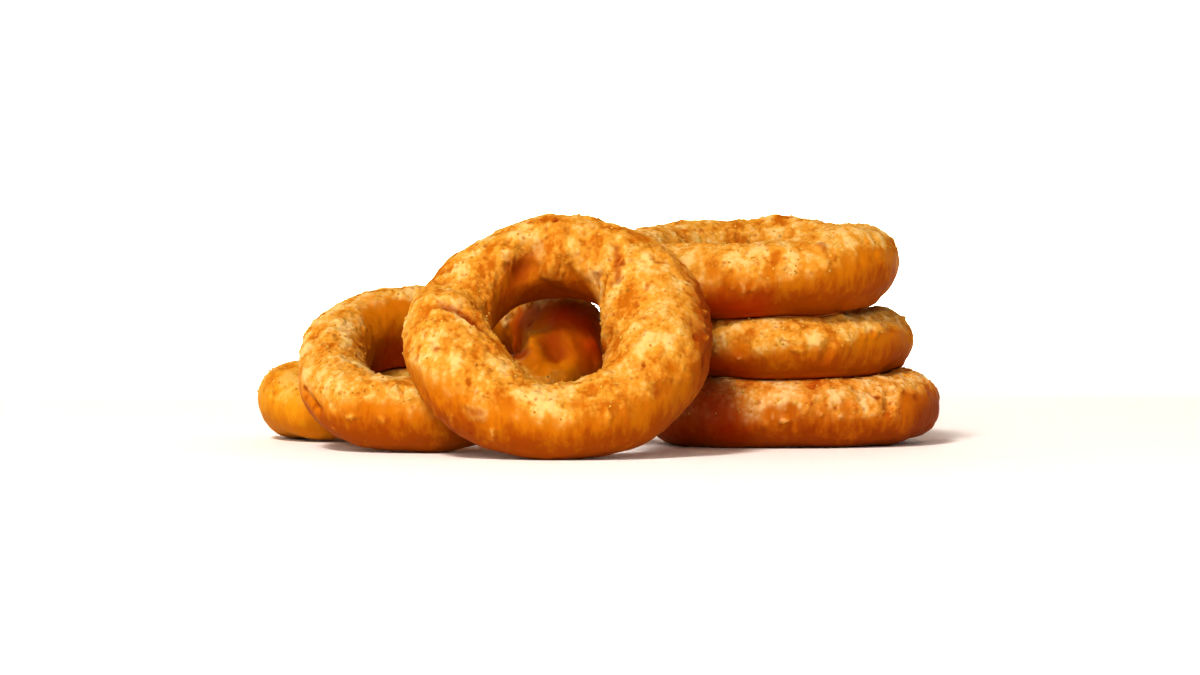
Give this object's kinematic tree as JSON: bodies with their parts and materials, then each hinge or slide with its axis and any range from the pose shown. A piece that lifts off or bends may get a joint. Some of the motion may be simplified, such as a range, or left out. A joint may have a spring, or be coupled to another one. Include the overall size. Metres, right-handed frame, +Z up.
{
  "type": "fried onion rings side",
  "caption": "Side of fried onion rings in a golden crumb crust: a short stack, with more rings lying and leaning beside it.",
  "frame": {"origin": "middle of the pile's footprint box, on the surface that it stands on", "axes": "+Z up, -Y towards the front with the leaning ring, +X towards the stack"},
  "size_m": [0.1728, 0.1218, 0.0572],
  "materials": {
    "crust_golden": "fried crumb crust, pale gold and rough on top, darker and oily below",
    "crust_deep": "fried crumb crust, browned deeper, oily",
    "crust_batter": "smooth yellow batter with few crumbs, oily"
  },
  "bodies": {
    "root": {"stack_bottom": "crust_deep", "stack_middle": "crust_golden", "stack_top": "crust_golden", "ring_far_left": "crust_batter", "ring_left": "crust_golden", "ring_front": "crust_golden"}
  },
  "joints": []
}
